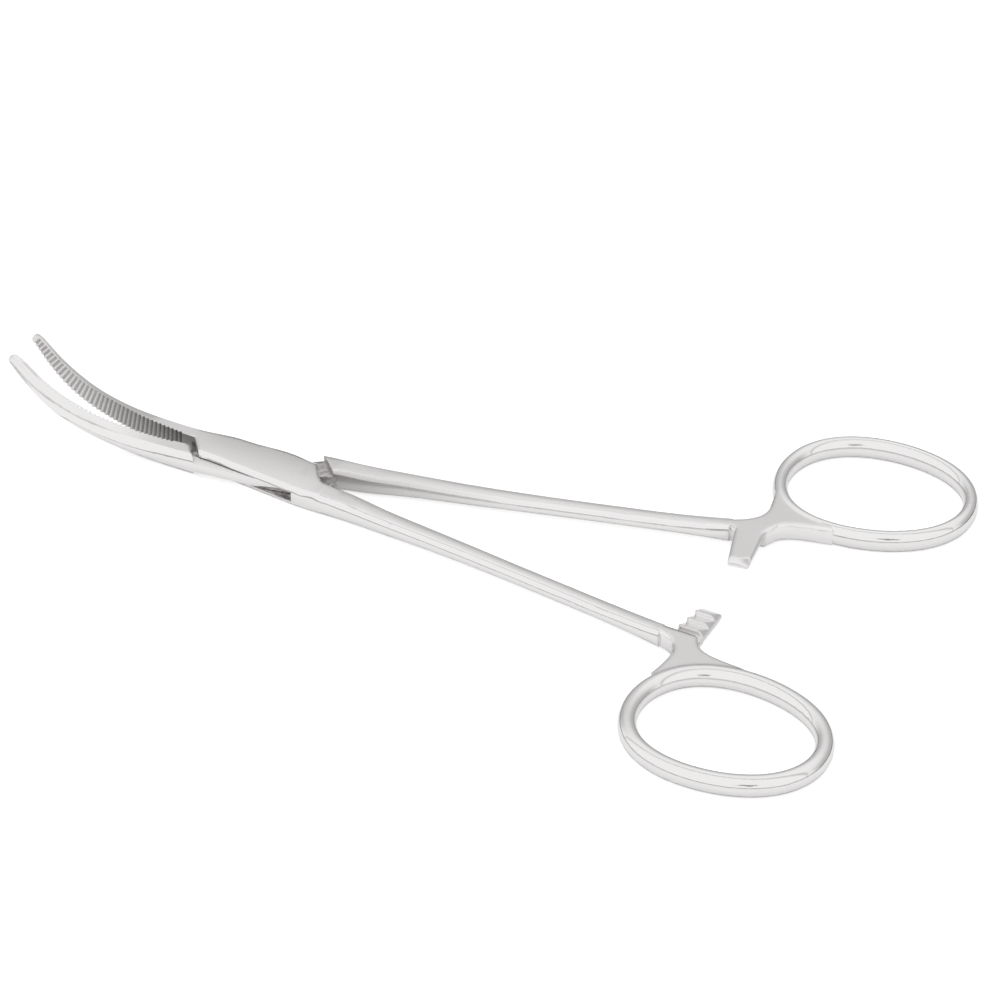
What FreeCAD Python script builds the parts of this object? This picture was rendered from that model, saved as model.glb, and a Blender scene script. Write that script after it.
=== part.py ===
import FreeCAD, Part
import math
import os

os.makedirs("parts", exist_ok=True)

# Curved haemostatic forceps with a box lock, millimetres.
# x runs from the pivot toward the finger rings, z is up from the table.
# Each half is drawn in its closed position about the pivot axis and is then swung open.
# The female half carries the box: its jaw is at +y and its shank at -y.
# The male half is the mirror image with a thin tongue in place of the box cheeks.

# Sizes given as a pair belong to the female half and to the male half: the two are ground by hand
FEMALE, MALE = 0, 1

# Main heights and the half opening angle of the photographed position
BODY_HALF = 2.0
HALF_OPEN_DEG = 4.6

# Box: its two ends, the slot in it and the running gaps round the tongue
BOX_FRONT = -13.3
BOX_REAR = 12.5
SLOT_HALF = 0.95
TONGUE_GAP = 0.1
WALL_GAP = 0.2

# End wall of the slot in plan: straight across, then slanting in to the toe of the wall
SLOT_END = 8.3
WALL_BEND_Y = 4.3
WALL_TOE_X = 11.5
WALL_TOE_Y = 0.6
WALL_TOE_RUN = 2.0

# Root of the male shank beside the slot: its inner face and how far the clearance there runs on
SHANK_ROOT_Y = 0.35
ROOT_PAST = 3.5

# Pivot pin
PIN_RADIUS = 1.55
PIN_RUNNING_GAP = 0.05

# Beyond the reach of any part of the tool, for cuts that run right through
FAR = 60.0
TALL = 30.0

# Jaws
FACE_GAP = 0.03
FACE_STOCK = 0.4
GROOVE_PITCH = 0.80
GROOVE_DEPTH = 0.34
GROOVE_COUNT = 38
GROOVE_START = 0.2
GROOVE_TIP_MARGIN = 0.42
GROOVE_CLOSED_SHARE = 0.55
GROOVE_OVERRUN = 0.6
GROOVE_LIP = 0.02
TIP_ROUND = 1.05
TIP_STEPS = [0.4, 0.68, 0.87, 0.97]
TIP_BLUNT = 0.25

# Upper edge of the gripping face from the box to the tip, as x and z, and its last point on each half
JAW_TOP = [(10, 2.15), (5, 2.15), (0, 2.15), (-4.5, 2.15), (-9, 2.12), (-13.3, 2.0), (-17.5, 2.18),
           (-21.7, 2.62), (-26, 3.4), (-30.2, 4.5), (-34, 5.98), (-37.4, 8.0), (-40.4, 10.5)]
JAW_TIP = [(-42.8, 12.7), (-43.3, 13.2)]
# Jaw at the same points: face height, width, bevel width and drop, place and drop of the upper ridge
JAW_SIZES = [(4.3, 3.88, 0.75, 0.85, 3.13, 0), (4.3, 4.0, 0.75, 0.85, 3.25, 0),
             (4.3, 3.95, 0.75, 0.85, 3.2, 0), (4.3, 3.72, 0.75, 0.85, 2.97, 0),
             (4.24, 3.42, 0.75, 0.85, 2.67, 0), (4.0, 3.05, 0.75, 0.95, 2.25, 0),
             (3.95, 2.72, 0.9, 1.1, 1.98, 0.04), (3.93, 2.5, 1.1, 1.25, 1.79, 0.26),
             (3.92, 2.3, 1.3, 1.38, 1.63, 0.6), (3.85, 2.12, 1.4, 1.42, 1.43, 0.78),
             (3.7, 1.95, 1.45, 1.38, 1.25, 0.76), (3.35, 1.78, 1.4, 1.27, 1.03, 0.7),
             (2.85, 1.52, 1.2, 1.12, 0.8, 0.67), (2.25, 1.2, 1.0, 0.9, 0.6, 0.56)]

# Near side of the box, as x, inner edge, outer edge
BOX_SIDE = [(-14, 0.4, -3.1), (-10, 0.4, -3.2), (-5, 0.4, -3.45), (0, 0.4, -3.9), (5, 0.4, -4.35),
            (9, 0.4, -4.65)]
BOX_STOCK = 0.06
# Shank from the box to the junction plate, as share of its length, inner edge, outer edge, half height, crown
SHANK_LENGTH = 67.0
SHANK = [(0.0, -0.5, -4.65, 2.04, 0.02), (0.067, -0.8, -4.68, 1.9, 0.06), (0.172, -1.6, -5.1, 1.7, 0.12),
         (0.291, -2.35, -5.55, 1.53, 0.14), (0.44, -3.3, -6.3, 1.4, 0.14), (0.59, -4.38, -7.27, 1.34, 0.14),
         (0.739, -5.45, -8.35, 1.34, 0.14), (0.858, -6.33, -9.25, 1.38, 0.14), (0.94, -7.05, -9.9, 1.54, 0.1),
         (1.0, -7.65, -10.3, 1.75, 0.02)]
SHANK_END = BOX_REAR + SHANK_LENGTH
BOX_BEVEL = 0.66
SHANK_BEVEL = 0.6
SIDE_BULGE = 0.16
BEVEL_BEND = 0.38

# Finger ring: half lengths of its centre line, and how far that line starts past the shank and off the middle
RING_A = 16.05
RING_B = 12.6
RING_SETBACK = 3.85
RING_INNER_Y = 13.35
RING_X = SHANK_END + RING_SETBACK + RING_A
RING_Y = RING_INNER_Y + RING_B
RING_EGG = -0.07
RING_BLUNT = 0.08
RING_SHIFT = (0, 0.2)
WIRE_HALF_W = (1.53, 1.28)

# Junction plate between shank, ring and ratchet tab
PLATE_HALF = 1.75
PLATE_ROUND = 0.4
PLATE_LAP = 0.7
PLATE_GROWTH = (0.25, -0.45)
# Its two free edges, as angle round the ring and distance outward from the ring's centre line
PLATE_OUTER = [(-139.2, 8.0), (-138.9, 6.35), (-140.5, 4.73), (-144.5, 3.37), (-148.8, 2.45), (-158.1, 1.45)]
PLATE_INNER = [(-102.2, 1.26), (-116.3, 2.38), (-123.8, 3.76), (-127.2, 5.27), (-128.0, 7.07)]
# Its back edge lies inside the wire, on the ring's centre line, at these angles
PLATE_BACK = (-158, -145, -132, -119, -106)

# Ratchet tab and its teeth
TAB_TIP_Y = 1.0
TAB_ROOT_Y = 8.4
TAB_SETBACK = 1.0
TAB_WIDTH = 5.0
TAB_LEFT = SHANK_END + TAB_SETBACK
TAB_RIGHT = TAB_LEFT + TAB_WIDTH
TAB_SLANT = 1.4
TOOTH_PITCH = 2.3
TOOTH_COUNT = 3
TOOTH_TOP = 0.3
TOOTH_ROOT = -0.55
TOOTH_FIRST = 2.7
TOOTH_LEAN = 0.12
TOOTH_LAND = 0.18
TOOTH_END = 1.2

# Thinner underside of the lower tab, and the round bevel ground on the end of each tab
TAB_UNDER = 1.15
TAB_UNDER_Y = -6.6
TAB_UNDER_RUN = 0.8
TAB_END_RADIUS = 3.3
TAB_END_LENGTH = 0.85
TAB_END_SLOPE = 0.6

# Cheeks of the box in plan: what is cut away ahead of them and behind them
CHEEK_FRONT = [(-FAR, FACE_GAP), (-13.0, FACE_GAP), (-10.5, -3.0), (-8.2, -6.2), (-FAR, -6.2)]
CHEEK_REAR = [(8.4, 6.5), (8.6, 3.45), (10.7, 0.47), (11.6, -0.35), (12.6, -0.8), (13.4, -0.8), (13.4, 6.5)]

# Recess above and below the tongue in plan, from the step in front to the shoulder behind
RECESS = [(-13.35, 0.7), (-11.75, -2.3), (-10.3, -4.3), (-10.3, -7), (13.0, -7), (13.0, 0.0),
          (12.65, 0.45), (10.5, 3.2), (9.6, 4.2), (9.0, 6), (-9.0, 6)]

# What is trimmed off the shank side of the tongue in plan, so that it stays behind the cheeks
TONGUE_BACK = [(-2, 3.95), (5.4, 3.3), (7.9, 3.35), (9.6, 4.2), (9.0, 6), (-2, 6)]


def vec(x, y, z=0.0):
    return FreeCAD.Vector(x, y, z)


def arc(start, middle, end):
    return Part.Arc(start, middle, end).toShape()


def line(start, end):
    return Part.makeLine(start, end)


# Bevelled section across a bar: slightly crowned top and bottom, slightly bulging sides
def bar_section(x, y0, y1, half, bevel, crown):
    def at(y, z):
        return vec(x, y, z)
    c = bevel
    k = BEVEL_BEND * bevel
    top = half - crown
    middle = (y0 + y1) / 2
    pts = [at(y0 + c, -top), at(y1 - c, -top), at(y1, c - top), at(y1, top - c),
           at(y1 - c, top), at(y0 + c, top), at(y0, top - c), at(y0, c - top)]
    edges = [arc(pts[0], at(middle, -half), pts[1]), arc(pts[1], at(y1 - k, k - top), pts[2]),
             arc(pts[2], at(y1 + SIDE_BULGE, 0), pts[3]), arc(pts[3], at(y1 - k, top - k), pts[4]),
             arc(pts[4], at(middle, half), pts[5]), arc(pts[5], at(y0 + k, top - k), pts[6]),
             arc(pts[6], at(y0 - SIDE_BULGE, 0), pts[7]), arc(pts[7], at(y0 + k, k - top), pts[0])]
    return Part.Wire(edges)


# Section of a jaw: flat gripping side, upper facet out to a ridge, bevels and a bulging back
def jaw_section(origin, up, height, width, bevel, drop, ridge, ridge_drop, bulge=SIDE_BULGE):
    def at(y, h):
        return origin + vec(0, y, 0) - up * h
    k = BEVEL_BEND
    upper = at(width - k * (width - ridge), ridge_drop + k * (drop - ridge_drop))
    lower = at(width - k * bevel, height - k * drop)
    edges = [line(at(-FACE_STOCK, height), at(-FACE_STOCK, 0)), line(at(-FACE_STOCK, 0), at(0, 0)),
             line(at(0, 0), at(ridge, ridge_drop)), arc(at(ridge, ridge_drop), upper, at(width, drop)),
             arc(at(width, drop), at(width + bulge, 0.5 * height), at(width, height - drop)),
             arc(at(width, height - drop), lower, at(width - bevel, height)),
             line(at(width - bevel, height), at(-FACE_STOCK, height))]
    return Part.Wire(edges)


# Prism over a plan outline
def plan_prism(points, z0, z1):
    corners = [vec(x, y, z0) for x, y in points]
    face = Part.Face(Part.makePolygon(corners + [corners[0]]))
    return face.extrude(vec(0, 0, z1 - z0))


# Upper edge curve of the gripping face with its parameters at the given points
def jaw_edge_curve(half):
    curve = Part.BSplineCurve()
    points = [vec(x, 0, z) for x, z in JAW_TOP + [JAW_TIP[half]]]
    curve.interpolate(points)
    return curve, [curve.parameter(point) for point in points]


def edge_frame(curve, u):
    tangent = curve.tangent(u)[0]
    if tangent.x > 0:
        tangent = tangent * -1
    up = vec(tangent.z, 0, -tangent.x)
    return curve.value(u), up, tangent


def size_at(marks, u):
    for i in range(len(marks) - 1):
        if u <= marks[i + 1]:
            t = (u - marks[i]) / (marks[i + 1] - marks[i])
            return [(1 - t) * p + t * q for p, q in zip(JAW_SIZES[i], JAW_SIZES[i + 1])]
    return JAW_SIZES[-1]


# Jaw with the far side of the box as one lofted bar, ending in a rounded tip
def jaw_bar(half):
    curve, marks = jaw_edge_curve(half)
    sections = []
    for u, sizes in zip(marks, JAW_SIZES):
        origin, up, tangent = edge_frame(curve, u)
        sections.append(jaw_section(origin, up, *sizes))
    height, width, bevel, drop, ridge, ridge_drop = JAW_SIZES[-1]
    for a in TIP_STEPS:
        f = math.sqrt(1 - a * a)
        g = TIP_BLUNT + (1 - TIP_BLUNT) * f
        start = origin + tangent * (TIP_ROUND * a) - up * (0.5 * height * (1 - f))
        sizes = (height * f, width * g, bevel * g, drop * f, ridge * g, ridge_drop * f)
        sections.append(jaw_section(start, up, *sizes, SIDE_BULGE * f))
    return Part.makeLoft(sections, True, False)


# Row of transverse V grooves, closed at the upper edge near the tip
def groove_cutters(half, shift):
    curve, marks = jaw_edge_curve(half)
    cutters = []
    full = curve.length(curve.FirstParameter, curve.LastParameter)
    for i in range(GROOVE_COUNT):
        s = full - GROOVE_START - (i + shift) * GROOVE_PITCH
        u = curve.parameterAtDistance(s, curve.FirstParameter)
        origin, up, tangent = edge_frame(curve, u)
        height = size_at(marks, u)[0]
        margin = GROOVE_TIP_MARGIN * (1 - i / (GROOVE_CLOSED_SHARE * GROOVE_COUNT))
        top = origin - up * margin if margin > GROOVE_LIP else origin + up * GROOVE_OVERRUN
        low = origin - up * (height + GROOVE_OVERRUN)
        reach = tangent * (GROOVE_PITCH / 2 - GROOVE_LIP / 2)
        mouth = vec(0, FACE_GAP - GROOVE_LIP, 0)
        deep = vec(0, FACE_GAP + GROOVE_DEPTH, 0)
        tri = [low + reach + mouth, low - reach + mouth, low + deep]
        face = Part.Face(Part.makePolygon(tri + [tri[0]]))
        cutters.append(face.extrude(top - low))
    return cutters


# Near side of the box and the shank as one lofted bar
def shank_bar():
    sections = []
    for x, inner, outer in BOX_SIDE:
        sections.append(bar_section(x, outer, inner, BODY_HALF + BOX_STOCK, BOX_BEVEL, BOX_STOCK / 3))
    for share, inner, outer, half_height, crown in SHANK:
        x = BOX_REAR + share * SHANK_LENGTH
        sections.append(bar_section(x, outer, inner, half_height, SHANK_BEVEL, crown))
    return Part.makeLoft(sections, True, False)


# Point on the egg-shaped centre line of the finger ring
def ring_point(t, half):
    u = RING_A * math.cos(t)
    v = RING_B * math.sin(t) * (1 + RING_EGG * math.cos(t) + RING_BLUNT * math.cos(t) ** 2)
    return vec(RING_X + RING_SHIFT[half] + u, -(RING_Y + v), 0)


def finger_ring(half):
    count = 24
    points = [ring_point(2 * math.pi * i / count, half) for i in range(count)]
    path = Part.BSplineCurve()
    path.interpolate(points, True)
    wire = Part.Wire(path.toShape())
    start = path.value(path.FirstParameter)
    along = path.tangent(path.FirstParameter)[0]
    side = along.cross(vec(0, 0, 1))
    profile = Part.Ellipse(start + vec(0, 0, BODY_HALF), start + side * WIRE_HALF_W[half], start)
    shell = Part.BRepOffsetAPI.MakePipeShell(wire)
    shell.setFrenetMode(True)
    shell.add(Part.Wire(profile.toShape()))
    shell.build()
    shell.makeSolid()
    return shell.shape()


# Point off the ring's centre line, by its angle round the loop and its distance outward
def by_ring(angle_deg, out, half):
    t = math.radians(angle_deg)
    step = 0.01
    along = ring_point(t + step, half) - ring_point(t - step, half)
    along.normalize()
    return ring_point(t, half) + vec(-along.y, along.x) * out


def spline_edge(points, end=None):
    curve = Part.BSplineCurve()
    if end:
        begin = points[1] - points[0]
        begin.normalize()
        curve.interpolate(Points=points, InitialTangent=begin, FinalTangent=end)
    else:
        curve.interpolate(points)
    return curve.toShape()


# Flat plate that joins the shank, the ring and the ratchet tab
def junction_plate(half):
    share, shank_inner, shank_outer, half_height, crown = SHANK[-1]
    inside = SHANK_END - PLATE_LAP
    outer = [vec(inside, shank_outer + 0.5), vec(SHANK_END + 1.2, shank_outer - 0.05)]
    outer += [by_ring(angle, out + PLATE_GROWTH[half], half) for angle, out in PLATE_OUTER]
    back = [by_ring(angle, 0, half) for angle in PLATE_BACK]
    inner = [by_ring(angle, out, half) for angle, out in PLATE_INNER]
    inner.append(vec(TAB_RIGHT, shank_inner + 0.8))
    tip = [vec(TAB_RIGHT, TAB_TIP_Y), vec(TAB_LEFT + TAB_SLANT, TAB_TIP_Y)]
    root = [vec(TAB_LEFT, shank_inner - 0.2), vec(inside, shank_inner - PLATE_LAP)]
    rims = [spline_edge(outer), spline_edge(inner, vec(0, 1)), line(inner[-1], tip[0])]
    rims += [line(tip[0], tip[1]), line(tip[1], root[0])]
    hidden = [line(outer[-1], back[0]), spline_edge(back), line(back[-1], inner[0])]
    hidden += [line(root[0], root[1]), line(root[1], outer[0])]
    face = Part.Face(Part.Wire(Part.sortEdges(rims + hidden)[0]))
    plate = face.extrude(vec(0, 0, PLATE_HALF * 2))
    exposed = Part.makeCompound(rims)
    edges = []
    for edge in plate.Edges:
        middle = edge.valueAt((edge.FirstParameter + edge.LastParameter) / 2)
        across = abs(edge.BoundBox.ZLength) > 0.01
        foot = Part.Vertex(middle.x, middle.y, 0)
        if not across and exposed.distToShape(foot)[0] < 0.001:
            edges.append(edge)
    plate = plate.makeChamfer(PLATE_ROUND, edges)
    plate.translate(vec(0, 0, -PLATE_HALF))
    return plate


# Saw teeth of the ratchet: everything above this profile is cut away
def tooth_cutter():
    top = 2 * BODY_HALF
    first = TOOTH_FIRST - TAB_ROOT_Y
    profile = [(-TAB_ROOT_Y, top), (-TAB_ROOT_Y, TOOTH_ROOT), (first, TOOTH_ROOT)]
    for i in range(TOOTH_COUNT):
        y = first + i * TOOTH_PITCH
        profile.append((y + TOOTH_LEAN, TOOTH_TOP))
        profile.append((y + TOOTH_LEAN + TOOTH_LAND, TOOTH_TOP))
        profile.append((y + TOOTH_PITCH, TOOTH_ROOT))
    past = TAB_TIP_Y + TOOTH_PITCH
    profile += [(past, TOOTH_ROOT), (past, top)]
    start = TAB_LEFT - 1.0
    corners = [vec(start, y, z) for y, z in profile]
    face = Part.Face(Part.makePolygon(corners + [corners[0]]))
    teeth = face.extrude(vec(TAB_RIGHT + 1.0 - start, 0, 0))
    slope = [(TAB_RIGHT - TOOTH_END, TOOTH_TOP), (TAB_RIGHT, TOOTH_ROOT - TOOTH_LAND), (TAB_RIGHT, TOOTH_TOP)]
    ends = [vec(x, -TAB_ROOT_Y, z) for x, z in slope]
    wedge = Part.Face(Part.makePolygon(ends + [ends[0]])).extrude(vec(0, TAB_ROOT_Y + past, 0))
    return teeth.fuse(wedge)


# Jaw, box body and shank in one piece, top and bottom faces milled flat
def half_bar(half):
    bar = jaw_bar(half).fuse(shank_bar())
    above = Part.makeBox(BOX_REAR - BOX_FRONT, 2 * FAR, TALL, vec(BOX_FRONT, -FAR, BODY_HALF))
    return bar.cut(above).cut(above.mirror(vec(0, 0, 0), vec(0, 0, 1)))


def mirror(shape):
    return shape.mirror(vec(0, 0, 0), vec(0, 1, 0))


# Everything beyond a cone that rounds the end of the tab off, drawn for a tab with its teeth up
def tab_end_cutter():
    middle = vec((TAB_LEFT + TAB_RIGHT) / 2, TAB_TIP_Y - TAB_END_RADIUS - TAB_END_LENGTH, -PLATE_HALF)
    grown = TAB_END_RADIUS + 2 * PLATE_HALF / TAB_END_SLOPE
    cone = Part.makeCone(TAB_END_RADIUS, grown, 2 * PLATE_HALF, middle)
    corner = middle - vec(1.5 * TAB_END_RADIUS, 0, 0)
    block = Part.makeBox(3 * TAB_END_RADIUS, TAB_ROOT_Y, 2 * PLATE_HALF, corner)
    return block.cut(cone)


# What is ground off under the lower tab
def under_cutter():
    rise = TAB_UNDER_Y + TAB_UNDER_RUN
    profile = [(TAB_UNDER_Y, -BODY_HALF), (TAB_UNDER_Y, -PLATE_HALF), (rise, -TAB_UNDER),
               (TAB_ROOT_Y, -TAB_UNDER), (TAB_ROOT_Y, -BODY_HALF)]
    corners = [vec(TAB_LEFT - 1.0, y, z) for y, z in profile]
    return Part.Face(Part.makePolygon(corners + [corners[0]])).extrude(vec(TAB_ROOT_Y, 0, 0))


# Plate with its ratchet tab and the ring; the teeth face up on the lower tab, down on the upper one
def handle_end(half):
    plate = junction_plate(half)
    if half == MALE:
        turned = tooth_cutter().fuse(tab_end_cutter()).mirror(vec(0, 0, 0), vec(0, 0, 1))
        plate = plate.cut(turned)
    else:
        plate = plate.cut(tooth_cutter()).cut(tab_end_cutter()).cut(under_cutter())
    return [plate, finger_ring(half)]


# Plan of what lies behind the slot's front wall, which is the jaw root
def front_wall(gap, y_end):
    toe = WALL_TOE_X + WALL_TOE_RUN * (WALL_TOE_Y - y_end)
    return [(gap - SLOT_END, FAR), (gap - SLOT_END, WALL_BEND_Y), (gap - WALL_TOE_X, WALL_TOE_Y),
            (gap - toe, y_end), (-FAR, y_end), (-FAR, FAR)]


# The rear wall, at the shank root, is the front one turned half round the pivot
def rear_wall(gap, y_end):
    return [(-x, -y) for x, y in front_wall(gap, -y_end)]


def through(points):
    return plan_prism(points, -TALL, TALL)


def female_half():
    bar = half_bar(FEMALE)
    bar = bar.cut(through(CHEEK_FRONT))
    bar = bar.cut(through(CHEEK_REAR))
    slot = Part.makeBox(2 * FAR, 2 * FAR, 2 * SLOT_HALF, vec(-FAR, -FAR, -SLOT_HALF))
    slot = slot.cut(through(front_wall(0, FACE_GAP)))
    slot = slot.cut(through(rear_wall(0, -FACE_GAP)))
    bar = bar.cut(slot)
    bar = bar.cut(Part.makeCylinder(PIN_RADIUS, 2 * TALL, vec(0, 0, -TALL)))
    bar = bar.cut(Part.makeCompound(groove_cutters(FEMALE, 0.0)))
    return bar.fuse(handle_end(FEMALE))


def male_half():
    bar = half_bar(MALE)
    bar = bar.cut(Part.makeCompound(groove_cutters(MALE, 0.5)))
    bar = mirror(bar)
    bar = bar.cut(through(front_wall(WALL_GAP, -FACE_GAP)))
    root = through(rear_wall(WALL_GAP, SHANK_ROOT_Y))
    reach = Part.makeBox(BOX_REAR + ROOT_PAST, 2 * FAR, 2 * TALL, vec(0, -FAR, -TALL))
    bar = bar.cut(root.common(reach))
    recess = plan_prism(RECESS, SLOT_HALF - TONGUE_GAP, TALL)
    bar = bar.cut(recess).cut(recess.mirror(vec(0, 0, 0), vec(0, 0, 1)))
    bar = bar.cut(through(TONGUE_BACK))
    bar = bar.cut(Part.makeCylinder(PIN_RADIUS + PIN_RUNNING_GAP, 2 * TALL, vec(0, 0, -TALL)))
    return bar.fuse([mirror(shape) for shape in handle_end(MALE)])


# Swing a closed half open and stand the whole on the table
def place(shape, angle):
    solid = shape.removeSplitter()
    solid.rotate(vec(0, 0, 0), vec(0, 0, 1), angle)
    solid.translate(vec(0, 0, BODY_HALF))
    return solid


parts = {
    "female_half": place(female_half(), -HALF_OPEN_DEG),
    "male_half": place(male_half(), HALF_OPEN_DEG),
    "pivot_pin": Part.makeCylinder(PIN_RADIUS, 2 * BODY_HALF),
}
for name, shape in parts.items():
    print(name, shape.isValid(), len(shape.Solids), len(shape.Faces), round(shape.Volume, 1))
    shape.exportStep("parts/" + name + ".step")
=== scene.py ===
import bmesh
import bpy
import math
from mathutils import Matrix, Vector


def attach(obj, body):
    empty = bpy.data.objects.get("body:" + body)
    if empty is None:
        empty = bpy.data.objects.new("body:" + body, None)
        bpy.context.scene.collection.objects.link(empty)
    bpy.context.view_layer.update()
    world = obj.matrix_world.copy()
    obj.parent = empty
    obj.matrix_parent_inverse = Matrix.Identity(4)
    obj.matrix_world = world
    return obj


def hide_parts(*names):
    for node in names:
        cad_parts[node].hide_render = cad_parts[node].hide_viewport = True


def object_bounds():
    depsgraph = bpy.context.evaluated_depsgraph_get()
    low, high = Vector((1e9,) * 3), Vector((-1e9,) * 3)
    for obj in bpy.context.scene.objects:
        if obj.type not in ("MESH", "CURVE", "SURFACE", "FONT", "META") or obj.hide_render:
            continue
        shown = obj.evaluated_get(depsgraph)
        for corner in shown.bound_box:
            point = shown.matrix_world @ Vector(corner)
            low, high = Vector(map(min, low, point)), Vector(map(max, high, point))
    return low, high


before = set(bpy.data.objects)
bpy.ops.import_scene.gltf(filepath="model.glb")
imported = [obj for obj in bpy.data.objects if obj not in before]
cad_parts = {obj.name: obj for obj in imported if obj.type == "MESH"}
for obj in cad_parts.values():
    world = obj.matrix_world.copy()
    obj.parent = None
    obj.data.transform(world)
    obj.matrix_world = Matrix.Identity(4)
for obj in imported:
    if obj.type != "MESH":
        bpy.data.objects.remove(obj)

cad_low, cad_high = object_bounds()

# Camera of the photograph, in metres, with its lens and sensor in millimetres
CAMERA_TARGET = Vector((0.04023, 0.00772, 0.002))
CAMERA_DISTANCE = 0.88374
CAMERA_FORWARD = Vector((-0.3161, 0.7336, -0.6017)).normalized()
CAMERA_LENS = 190.9
SENSOR_WIDTH = 36.0
CLIP_START = 0.01
CLIP_END = 20.0

# Floor and its paper-white glow, as the camera sees it and as the steel mirrors it
FLOOR_HALF = 3.0
PAPER = 0.8
GLOW_SEEN = 0.55
GLOW_MIRRORED = 0.22

# A range below is (from, to), followed by the values at its two ends where they aren't 0 and 1.
# A band is (from, to, softness) and is 1 in its middle.

# Studio walls: brightness by height at the back, and how far back that brightness takes over
WALL_LEVEL = (0.32, 0.86, 0.62, 1.16)
BACK_WALL = (0.05, 0.55)
FRONT_LEVEL = 1.18
# Dark line at the foot of the walls, by distance from its height
FOOT_HEIGHT = 0.07
FOOT_LEVEL = (0.02, 0.11, 0.34, 1.0)
# Greyer strip overhead, as a band of slope toward the back, and how much light it takes away
SEAM_SLOPE = (0.13, 0.25, 0.08)
SEAM_SHADE = 0.45
LOWEST = 0.05
# Dark lens, by cosine of the angle from the camera's direction
LENS_LEVEL = (0.990, 0.994, 1.0, 0.3)

# The instrument, in metres and radians; x runs from the pivot toward the rings
MID_HEIGHT = 0.002
SWING = math.radians(4.6)
RING_FROM = 0.0800

# Rear corner of a cheek in plan, with the half closed, and the heights of the two cheeks
CHEEK_END = [(0.00995, 0.00152), (0.00995, -0.0007), (0.01175, -0.0010),
             (0.01175, -0.0005), (0.0107, 0.00047)]
CHEEK_LAYERS = [(0.00001, 0.00104), (0.00296, 0.00399)]
WELD_DISTANCE = 1e-7

# Edges sharper than these stay sharp, near the lock and elsewhere
LOCK_HALF = 0.0125
FLAT_CREASE = math.radians(10.0)
ROUND_CREASE = math.radians(22.0)

# Noises of the finish: scale per metre, detail and roughness
GRAIN = (9000.0, 2.0, 0.6)
CLOUD = (120.0, 3.0)
WAVE = (45.0, 1.0)
SPECK = (1500.0, 4.0, 0.7)
LINES = (1.0, 2.0)
LINES_SCALE = (200.0, 6000.0, 6000.0)

# Satin: where it lies along the instrument, at which level of the plates and on which faces
BEHIND_JAWS = (-0.0140, -0.0125)
BEFORE_RING = (RING_FROM + 0.004, RING_FROM)
PLATE_LEVEL = (0.00173, 0.00177, 0.00001)
LIES_FLAT = (0.955, 0.985)
JAW_NOT_SIDE = (0.40, 0.15)
JAW_UPWARD = (0.2, 0.4)
JAW_FADE = (-0.038, -0.016, 0.3, 1.0)

# Raw metal: its reach along x, faces that look inward, half the slot's height, the shoulder's wall
IN_LOCK = (-0.0136, 0.0132, 0.0001)
LOOKS_IN = (0.55, 0.35)
IN_SLOT = (0.00100, 0.00097)
WALL_UPRIGHT = (0.4, 0.2)
WALL_FROM = (0.0080, 0.0084)
# The part of the tongue outside the cheek's edge is polished: that edge's slope and offset in plan
SHORE_SLOPE = -0.141
SHORE_OFFSET = -0.00404
SHORE_SOFT = 0.0001
SHORE_FLAT = (0.8, 0.9)
SHORE_BEFORE = (0.001, 0.0)

# Painted shade: greyer inner sides of the shanks
SHANK_INNER = (-0.3, -0.7)
SHANK_START = (0.0100, 0.0110)
SHANK_FADE = (0.048, 0.012)

# Gripping face: its reach along x and from the closing plane, and the faces that are no part of it
IN_JAW = (-0.0116, -0.0120)
NEAR_CLOSING = (0.00044, 0.00040)
NOT_TOP = (0.85, 0.7)
SIDE_SHARE = 0.4
# Painted shade there by depth of the groove and by nearness to the lock, each as (far, near)
GROOVE_DEPTH = (0.00005, 0.00026)
TOWARD_LOCK = (-0.034, -0.013)
RIDGE_SHADE = (0.04, 0.45)
GROOVE_SHADE = (0.34, 0.78)

# Colours of the steel; pairs run from dark to light
POLISH_TONE = (0.895, 0.883, 0.880, 1.0)
SATIN_TONES = [(0.82, 0.805, 0.80, 1.0), (0.89, 0.878, 0.874, 1.0)]
WINDOW_TONES = [(0.28, 0.265, 0.26, 1.0), (0.58, 0.56, 0.55, 1.0)]
SHOULDER_TONES = [(0.46, 0.44, 0.43, 1.0), (0.76, 0.745, 0.735, 1.0)]
# Painted shade on the shanks' inner sides
SHADED_TONE = (0.66, 0.645, 0.64, 1.0)
# Painted shade for the grooves and ridges of the gripping face
GROOVE_SHADE_TONE = (0.13, 0.12, 0.115, 1.0)
SPECK_RANGE = (0.35, 0.65)
AT_SHOULDER = (0.0070, 0.0080)

# Roughness of the finishes, by the cloud or line noise where it varies
SATIN_ROUGHNESS = (0.3, 0.7, 0.24, 0.29)
POLISH_ROUGHNESS = (0.3, 0.7, 0.06, 0.14)
SHADED_ROUGHNESS = 0.35
RAW_ROUGHNESS = 0.45

# Edge rounding: radius in metres and samples, and where each applies
CRISP_EDGE = (0.00014, 4)
BROAD_EDGE = (0.0010, 6)
RIM_EDGE = (0.0006, 6)
AT_PLATE = (0.0798, 0.0925, 0.0020)
PIN_CLEAR = (0.0029, 0.0036)

# Slight doming of flats and sides that the solids leave plane: tilt of the normal per metre
CROWN = 29.0
CROWN_REACH = (-0.0115, 0.012, 0.003)
BARREL = 220.0
LOOKS_OUT = (0.5, 0.7)

# Bumps: depth in metres and strength
RIPPLE_BUMP = (0.00012, 0.3)
GRAIN_BUMP = (0.000006, 0.2)
LINES_SHARE = 0.3

# Sockets of the Mix node by kind of value: first, second and result
MIX_SOCKETS = {"FLOAT": (2, 3, 0), "VECTOR": (4, 5, 1), "RGBA": (6, 7, 2)}


def new_material(name):
    material = bpy.data.materials.new(name)
    material.use_nodes = True
    tree = material.node_tree
    tree.nodes.clear()
    return material, tree


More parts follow.
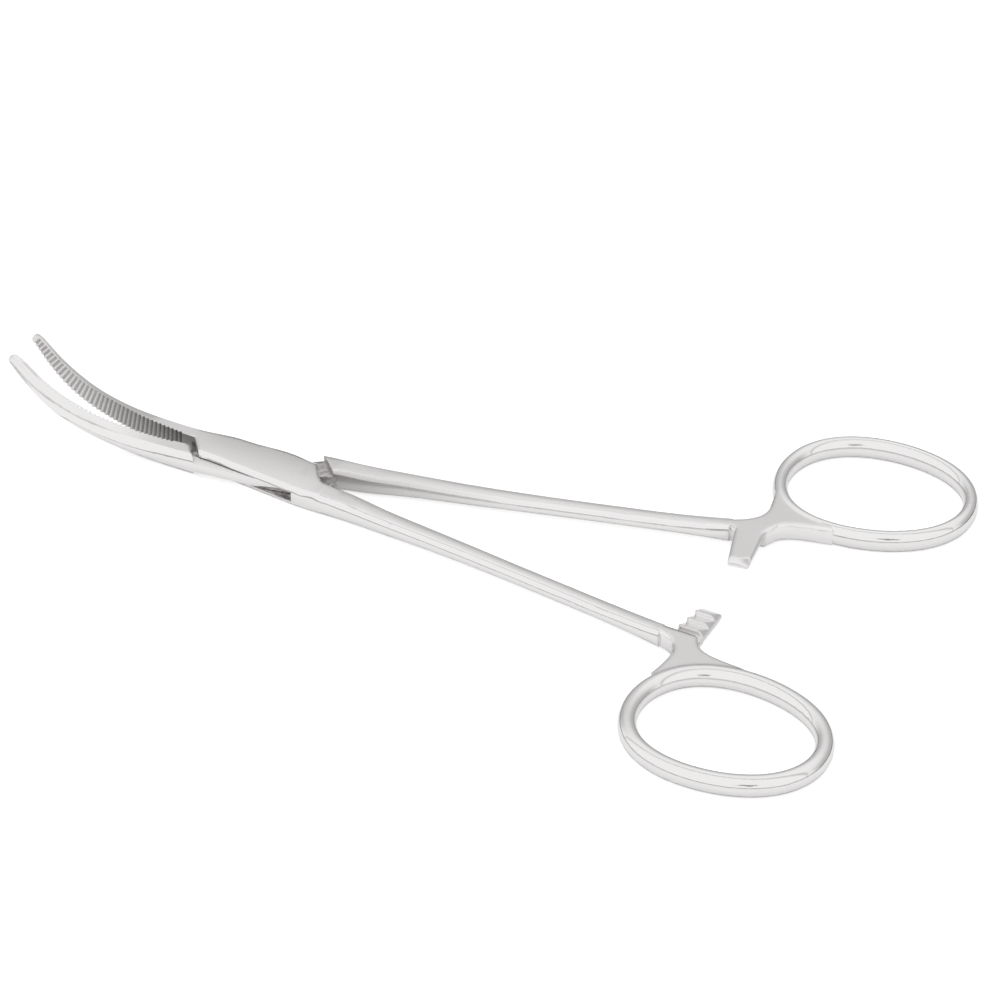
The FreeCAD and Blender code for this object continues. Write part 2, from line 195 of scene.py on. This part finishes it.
class Graph:
    """Short calls for adding shader nodes and linking them."""

    def __init__(self, tree):
        self.tree = tree

    def node(self, kind, **settings):
        node = self.tree.nodes.new(kind)
        for key, value in settings.items():
            setattr(node, key, value)
        return node

    def put(self, socket, value):
        if isinstance(value, bpy.types.NodeSocket):
            self.tree.links.new(value, socket)
        else:
            socket.default_value = value

    def math(self, operation, a, b=0.0):
        node = self.node("ShaderNodeMath", operation=operation)
        self.put(node.inputs[0], a)
        self.put(node.inputs[1], b)
        return node.outputs[0]

    def product(self, first, *others):
        for other in others:
            first = self.math("MULTIPLY", first, other)
        return first

    def rest_of(self, share):
        return self.math("SUBTRACT", 1.0, share)

    def vector_math(self, operation, a, b):
        node = self.node("ShaderNodeVectorMath", operation=operation)
        self.put(node.inputs[0], a)
        self.put(node.inputs[1], b)
        return node

    def ramp(self, value, low, high, to_low=0.0, to_high=1.0, smooth=True):
        node = self.node("ShaderNodeMapRange")
        node.interpolation_type = "SMOOTHSTEP" if smooth else "LINEAR"
        self.put(node.inputs["Value"], value)
        self.put(node.inputs["From Min"], low)
        self.put(node.inputs["From Max"], high)
        self.put(node.inputs["To Min"], to_low)
        self.put(node.inputs["To Max"], to_high)
        return node.outputs["Result"]

    def split(self, vector):
        node = self.node("ShaderNodeSeparateXYZ")
        self.put(node.inputs[0], vector)
        return node.outputs[0], node.outputs[1], node.outputs[2]

    def band(self, value, low, high, soft):
        rise = self.ramp(value, low - soft, low + soft)
        fall = self.ramp(value, high + soft, high - soft)
        return self.product(rise, fall)

    def mix(self, factor, a, b, kind="FLOAT"):
        first, second, result = MIX_SOCKETS[kind]
        node = self.node("ShaderNodeMix", data_type=kind)
        self.put(node.inputs["Factor"], factor)
        self.put(node.inputs[first], a)
        self.put(node.inputs[second], b)
        return node.outputs[result]

    def noise(self, vector, scale, detail=2.0, roughness=0.5):
        node = self.node("ShaderNodeTexNoise")
        self.put(node.inputs["Vector"], vector)
        self.put(node.inputs["Scale"], scale)
        self.put(node.inputs["Detail"], detail)
        self.put(node.inputs["Roughness"], roughness)
        return node.outputs["Fac"]

    def stretched(self, vector, scale):
        node = self.node("ShaderNodeMapping")
        self.put(node.inputs["Vector"], vector)
        self.put(node.inputs["Scale"], scale)
        return node.outputs["Vector"]

    def rounded(self, radius, samples):
        node = self.node("ShaderNodeBevel", samples=samples)
        self.put(node.inputs["Radius"], radius)
        return node.outputs[0]

    def bumped(self, normal, height, distance, strength):
        node = self.node("ShaderNodeBump")
        self.put(node.inputs["Height"], height)
        self.put(node.inputs["Distance"], distance)
        self.put(node.inputs["Strength"], strength)
        self.put(node.inputs["Normal"], normal)
        return node.outputs["Normal"]


class Place:
    """Where a point of a half lies, which way it faces and the noises there."""

    def __init__(self, g, hand):
        texture = g.node("ShaderNodeTexCoord")
        coords = texture.outputs["Object"]
        self.x, self.y, z = g.split(coords)
        _, facing_y, self.facing_z = g.split(texture.outputs["Normal"])
        self.upright = g.math("ABSOLUTE", self.facing_z)
        self.sideways = g.math("ABSOLUTE", facing_y)
        self.above_mid = g.math("SUBTRACT", z, MID_HEIGHT)
        self.off_mid = g.math("ABSOLUTE", self.above_mid)
        self.outward = g.product(g.math("SIGN", self.y), facing_y)

        # Distance into this half's jaw from the closing plane
        self.hand = hand
        self.across = g.math("ADD", g.product(self.x, math.sin(SWING)),
                             g.product(self.y, hand * math.cos(SWING)))

        # Fine grain, soft clouds, slow waves, dark specks and drawn-out polishing lines
        self.grain = g.noise(coords, *GRAIN)
        self.cloud = g.noise(coords, *CLOUD)
        self.wave = g.noise(coords, *WAVE)
        self.speck = g.noise(coords, *SPECK)
        self.lines = g.noise(g.stretched(coords, LINES_SCALE), *LINES)


class Finish:
    """How much of each finish, and of painted shade, a point of a half has."""

    def __init__(self, g, at):
        # Satin on box, shanks and plates where they lie flat, and fading along the tops of the jaws
        self.behind = g.ramp(at.x, *BEHIND_JAWS)
        flat = g.ramp(at.upright, *LIES_FLAT)
        jaw_top = g.product(g.ramp(at.sideways, *JAW_NOT_SIDE), g.ramp(at.facing_z, *JAW_UPWARD),
                            g.ramp(at.x, *JAW_FADE))
        before_ring = g.ramp(at.x, *BEFORE_RING)
        plate = g.band(at.off_mid, *PLATE_LEVEL)
        body = g.product(flat, g.math("MAXIMUM", before_ring, plate))
        self.satin = g.mix(self.behind, jaw_top, body)

        # Raw metal: walls of the slot, tongue faces and the step at the shoulder
        self.in_lock = g.band(at.x, *IN_LOCK)
        inner = g.ramp(at.outward, *LOOKS_IN)
        slot = g.ramp(at.off_mid, *IN_SLOT)
        wall = g.product(g.ramp(at.upright, *WALL_UPRIGHT), g.ramp(at.x, *WALL_FROM))
        raw = g.product(self.in_lock, inner, g.math("MAXIMUM", slot, wall))
        shore = g.math("ADD", g.product(at.x, SHORE_SLOPE), SHORE_OFFSET)
        past = g.ramp(g.math("SUBTRACT", shore, at.y), -SHORE_SOFT, SHORE_SOFT)
        bare = g.product(past, g.ramp(at.upright, *SHORE_FLAT), g.ramp(at.x, *SHORE_BEFORE))
        self.raw = g.product(raw, g.rest_of(bare))

        # Painted shade: the shanks' inner sides start greyer at the lock
        self.shaded = g.product(g.ramp(at.outward, *SHANK_INNER), g.ramp(at.x, *SHANK_START),
                                g.ramp(at.x, *SHANK_FADE))

        # Gripping face: painted shade darkens grooves and ridges toward the lock
        top = g.math("ADD", at.facing_z, g.product(at.sideways, SIDE_SHARE))
        self.face = g.product(g.ramp(at.x, *IN_JAW), g.ramp(at.across, *NEAR_CLOSING),
                              g.ramp(top, *NOT_TOP))
        heel = g.ramp(at.x, *TOWARD_LOCK, smooth=False)
        depth = g.ramp(at.across, *GROOVE_DEPTH)
        self.painted_groove_shade = g.product(self.face, g.mix(depth, g.mix(heel, *RIDGE_SHADE), g.mix(heel, *GROOVE_SHADE)))


def steel_tone(g, at, finish):
    satin_tone = g.mix(at.cloud, *SATIN_TONES, "RGBA")
    rough_spot = g.ramp(at.speck, *SPECK_RANGE)
    window_tone = g.mix(rough_spot, *WINDOW_TONES, "RGBA")
    shoulder_tone = g.mix(rough_spot, *SHOULDER_TONES, "RGBA")
    raw_tone = g.mix(g.ramp(at.x, *AT_SHOULDER), window_tone, shoulder_tone, "RGBA")
    tone = g.mix(finish.satin, POLISH_TONE, satin_tone, "RGBA")
    # Painted shade on the shanks' inner sides near the lock
    tone = g.mix(finish.shaded, tone, SHADED_TONE, "RGBA")
    tone = g.mix(finish.raw, tone, raw_tone, "RGBA")
    # Painted shade in the grooves and on the ridges, deepest toward the lock
    return g.mix(finish.painted_groove_shade, tone, GROOVE_SHADE_TONE, "RGBA")


def steel_roughness(g, at, finish):
    satin = g.ramp(at.cloud, *SATIN_ROUGHNESS)
    polish = g.ramp(at.lines, *POLISH_ROUGHNESS)
    roughness = g.mix(finish.satin, polish, satin)
    roughness = g.mix(finish.shaded, roughness, SHADED_ROUGHNESS)
    return g.mix(g.math("MAXIMUM", finish.raw, finish.face), roughness, RAW_ROUGHNESS)


# Rounded edges: crisp on polished parts, wider at the plates' rims, broad on satin, none round the pin
def rounded_normal(g, at, finish):
    at_plate = g.band(at.x, *AT_PLATE)
    edge = g.mix(at_plate, g.rounded(*CRISP_EDGE), g.rounded(*RIM_EDGE), "VECTOR")
    soft = g.mix(g.product(finish.satin, finish.behind), edge, g.rounded(*BROAD_EDGE), "VECTOR")
    from_pin = g.math("SQRT", g.math("ADD", g.product(at.x, at.x), g.product(at.y, at.y)))
    plain = g.node("ShaderNodeNewGeometry").outputs["Normal"]
    return g.mix(g.ramp(from_pin, *PIN_CLEAR), plain, soft, "VECTOR")


# Tilts the normal away from the middle: across the satin box, and up and down on outer sides
def domed_normal(g, at, finish, normal):
    on_box = g.product(g.band(at.x, *CROWN_REACH), finish.satin)
    open_side = g.math("MAXIMUM", g.rest_of(finish.in_lock), g.ramp(at.outward, *LOOKS_OUT))
    not_face_or_shade = g.rest_of(g.math("MAXIMUM", finish.face, finish.shaded))
    tilt = g.node("ShaderNodeCombineXYZ")
    g.put(tilt.inputs[1], g.product(at.across, at.hand * CROWN, on_box))
    g.put(tilt.inputs[2], g.product(at.above_mid, BARREL, g.product(open_side, not_face_or_shade)))
    turned = g.node("ShaderNodeVectorTransform", vector_type="VECTOR",
                    convert_from="OBJECT", convert_to="WORLD")
    g.put(turned.inputs[0], tilt.outputs[0])
    return g.vector_math("ADD", normal, turned.outputs[0]).outputs[0]


# Stainless steel: satin flats, polished bevels, sides and rings, raw metal in the lock and grooves, with
# painted shade darkening the grooves.
# The hand is 1 for the female half and -1 for the male one, whose jaw lies on the other side.
def forged_steel(name, hand):
    material, tree = new_material(name)
    g = Graph(tree)
    at = Place(g, hand)
    finish = Finish(g, at)
    normal = domed_normal(g, at, finish, rounded_normal(g, at, finish))
    normal = g.bumped(normal, at.wave, *RIPPLE_BUMP)
    fine = g.mix(finish.satin, g.product(at.lines, LINES_SHARE), at.grain)
    normal = g.bumped(normal, fine, *GRAIN_BUMP)

    shader = g.node("ShaderNodeBsdfPrincipled")
    g.put(shader.inputs["Metallic"], 1.0)
    g.put(shader.inputs["Base Color"], steel_tone(g, at, finish))
    g.put(shader.inputs["Roughness"], steel_roughness(g, at, finish))
    g.put(shader.inputs["Normal"], normal)
    out = g.node("ShaderNodeOutputMaterial")
    g.put(out.inputs["Surface"], shader.outputs[0])
    return material


def dress(piece, material):
    piece.data.materials.clear()
    piece.data.materials.append(material)


# Prism over an outline that is drawn with the half closed, turned to where the half lies open
def plan_prism(points, low, high):
    turned = [(x * math.cos(SWING) + y * math.sin(SWING), y * math.cos(SWING) - x * math.sin(SWING))
              for x, y in points]
    count = len(turned)
    corners = [(x, y, low) for x, y in turned] + [(x, y, high) for x, y in turned]
    sides = [(i, (i + 1) % count, count + (i + 1) % count, count + i) for i in range(count)]
    faces = sides + [tuple(reversed(range(count))), tuple(range(count, 2 * count))]
    mesh = bpy.data.meshes.new("cheek_end")
    mesh.from_pydata(corners, [], faces)
    return bpy.data.objects.new("cheek_end", mesh)


# Flats of the lock keep their edges; the lofted jaws, shanks and rings are smoothed over more
def crease_edges(mesh):
    edged = bmesh.new()
    edged.from_mesh(mesh)
    for edge in edged.edges:
        near_lock = abs(edge.verts[0].co.x) < LOCK_HALF
        limit = FLAT_CREASE if near_lock else ROUND_CREASE
        edge.smooth = edge.calc_face_angle(0.0) < limit
    edged.to_mesh(mesh)
    edged.free()


# The female half with the rear corner of both cheeks filled out to the edge of the lock
def forged_female():
    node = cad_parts["female_half"]
    welded = bmesh.new()
    welded.from_mesh(node.data)
    bmesh.ops.remove_doubles(welded, verts=welded.verts, dist=WELD_DISTANCE)
    mesh = bpy.data.meshes.new("female_half_forging")
    welded.to_mesh(mesh)
    welded.free()
    piece = bpy.data.objects.new("female_half_forging", mesh)
    bpy.context.collection.objects.link(piece)
    ends = [plan_prism(CHEEK_END, low, high) for low, high in CHEEK_LAYERS]
    for end in ends:
        bpy.context.collection.objects.link(end)
        union = piece.modifiers.new("cheek", "BOOLEAN")
        union.operation = "UNION"
        union.solver = "EXACT"
        union.object = end
    graph = bpy.context.evaluated_depsgraph_get()
    whole = bpy.data.meshes.new_from_object(piece.evaluated_get(graph))
    piece.modifiers.clear()
    piece.data = whole
    for end in ends:
        bpy.data.objects.remove(end)
    custom = whole.attributes.get("custom_normal")
    if custom:
        whole.attributes.remove(custom)
    whole.shade_smooth()
    crease_edges(whole)
    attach(piece, "female")
    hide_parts("female_half")
    return piece


# White studio: bright front, greyer back wall with a dark line at its foot, a grey strip overhead
# and the dark lens
def studio_world():
    world = bpy.data.worlds.new("studio")
    world.use_nodes = True
    tree = world.node_tree
    tree.nodes.clear()
    g = Graph(tree)
    direction = g.node("ShaderNodeTexCoord").outputs["Generated"]
    _, depth, height = g.split(direction)
    level = g.mix(g.ramp(depth, *BACK_WALL), FRONT_LEVEL, g.ramp(height, *WALL_LEVEL))
    foot = g.ramp(g.math("ABSOLUTE", g.math("SUBTRACT", height, FOOT_HEIGHT)), *FOOT_LEVEL)
    slope = g.math("DIVIDE", depth, g.math("MAXIMUM", height, LOWEST))
    seam = g.rest_of(g.product(g.band(slope, *SEAM_SLOPE), SEAM_SHADE))
    toward = g.vector_math("DOT_PRODUCT", direction, -CAMERA_FORWARD)
    lens = g.ramp(toward.outputs["Value"], *LENS_LEVEL)
    level = g.product(level, foot, g.product(seam, lens))
    seen = g.node("ShaderNodeLightPath").outputs["Is Camera Ray"]
    shade = g.node("ShaderNodeBackground")
    g.put(shade.inputs["Strength"], g.mix(seen, level, 1.0))
    out = g.node("ShaderNodeOutputWorld")
    g.put(out.inputs["Surface"], shade.outputs[0])
    bpy.context.scene.world = world


def studio_floor():
    mesh = bpy.data.meshes.new("floor")
    half = FLOOR_HALF
    corners = [(-half, -half, 0), (half, -half, 0), (half, half, 0), (-half, half, 0)]
    mesh.from_pydata(corners, [], [(0, 1, 2, 3)])
    floor = bpy.data.objects.new("floor", mesh)
    bpy.context.collection.objects.link(floor)
    floor.location.z = cad_low.z

    material, tree = new_material("floor_paper")
    g = Graph(tree)
    light = g.node("ShaderNodeLightPath")
    paper = g.node("ShaderNodeBsdfDiffuse")
    g.put(paper.inputs["Color"], (PAPER, PAPER, PAPER, 1.0))
    glow = g.node("ShaderNodeEmission")
    seen = g.product(light.outputs["Is Camera Ray"], GLOW_SEEN)
    mirrored = g.product(light.outputs["Is Glossy Ray"], GLOW_MIRRORED)
    g.put(glow.inputs["Strength"], g.math("ADD", seen, mirrored))
    both = g.node("ShaderNodeAddShader")
    g.put(both.inputs[0], paper.outputs[0])
    g.put(both.inputs[1], glow.outputs[0])
    out = g.node("ShaderNodeOutputMaterial")
    g.put(out.inputs["Surface"], both.outputs[0])
    mesh.materials.append(material)


def photo_camera():
    data = bpy.data.cameras.new("camera")
    data.sensor_width = SENSOR_WIDTH
    data.lens = CAMERA_LENS
    data.clip_start = CLIP_START
    data.clip_end = CLIP_END
    camera = bpy.data.objects.new("camera", data)
    camera.location = CAMERA_TARGET - CAMERA_FORWARD * CAMERA_DISTANCE
    camera.rotation_mode = "QUATERNION"
    camera.rotation_quaternion = CAMERA_FORWARD.to_track_quat("-Z", "Y")
    bpy.context.collection.objects.link(camera)
    bpy.context.scene.camera = camera


bpy.context.scene.view_settings.view_transform = "Standard"
photo_camera()
studio_world()
studio_floor()

dress(forged_female(), forged_steel("female_half_steel", 1.0))
dress(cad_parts["male_half"], forged_steel("male_half_steel", -1.0))
dress(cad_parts["pivot_pin"], forged_steel("pin_steel", 1.0))
